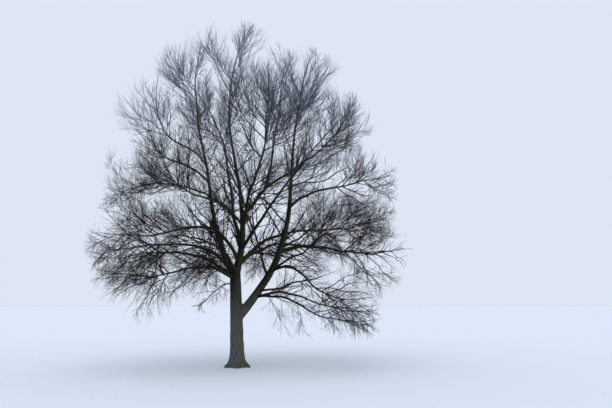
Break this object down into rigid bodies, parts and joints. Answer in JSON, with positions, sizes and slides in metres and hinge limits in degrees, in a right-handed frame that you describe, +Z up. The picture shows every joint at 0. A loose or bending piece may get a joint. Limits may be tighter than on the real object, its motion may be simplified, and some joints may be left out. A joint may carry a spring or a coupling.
{
  "type": "bare winter tree",
  "caption": "Bare broad-crowned deciduous tree in winter: flared trunk, low side limb, main fork, arching boughs and fans of leafless twigs",
  "frame": {"origin": "middle of the flat cut under the trunk, at ground level", "axes": "+Z up the trunk; +X to the right of the tree as it is usually seen, where the lowest large limb grows; +Y away from the viewer"},
  "size_m": [15.0983, 13.4173, 16.7395],
  "materials": {
    "trunk_bark": "rough bark, grey with green-brown algae on one side",
    "limb_bark": "rough dark bark, olive where it is lit",
    "low_twigs": "matt dark brown twigs",
    "high_twigs": "matt slate grey twigs"
  },
  "bodies": {
    "root": {"back_high": "limb_bark", "back_high_twigs": "high_twigs", "back_left": "limb_bark", "back_left_twigs": "low_twigs", "back_low": "limb_bark", "back_low_twigs": "low_twigs", "back_right": "limb_bark", "back_right_twigs": "low_twigs", "front_left": "limb_bark", "front_left_twigs": "high_twigs", "front_low": "limb_bark", "front_low_twigs": "low_twigs", "leader": "limb_bark", "leader_front": "limb_bark", "leader_front_twigs": "high_twigs", "leader_left": "limb_bark", "leader_left_twigs": "high_twigs", "leader_low": "limb_bark", "leader_low_twigs": "low_twigs", "leader_right": "limb_bark", "leader_right_twigs": "high_twigs", "leader_top": "limb_bark", "leader_top_twigs": "high_twigs", "left_droop": "limb_bark", "left_droop_twigs": "low_twigs", "left_high": "limb_bark", "left_high_twigs": "low_twigs", "left_limb": "limb_bark", "left_limb_outer": "limb_bark", "left_limb_outer_twigs": "high_twigs", "left_limb_top": "limb_bark", "left_limb_top_twigs": "high_twigs", "left_low_a": "limb_bark", "left_low_a_twigs": "low_twigs", "left_low_b": "limb_bark", "left_low_b_twigs": "low_twigs", "left_low_c": "limb_bark", "left_low_c_twigs": "low_twigs", "left_side": "limb_bark", "left_side_twigs": "high_twigs", "left_upper": "limb_bark", "left_upper_twigs": "high_twigs", "right_cross": "limb_bark", "right_cross_twigs": "high_twigs", "right_high": "limb_bark", "right_high_twigs": "high_twigs", "right_limb": "limb_bark", "right_limb_top": "limb_bark", "right_limb_top_twigs": "high_twigs", "right_low_a": "limb_bark", "right_low_a_twigs": "low_twigs", "right_low_b": "limb_bark", "right_low_b_twigs": "low_twigs", "right_mid": "limb_bark", "right_mid_low": "limb_bark", "right_mid_low_twigs": "low_twigs", "right_mid_twigs": "low_twigs", "right_upper": "limb_bark", "right_upper_twigs": "high_twigs", "trunk": "trunk_bark"}
  },
  "joints": []
}
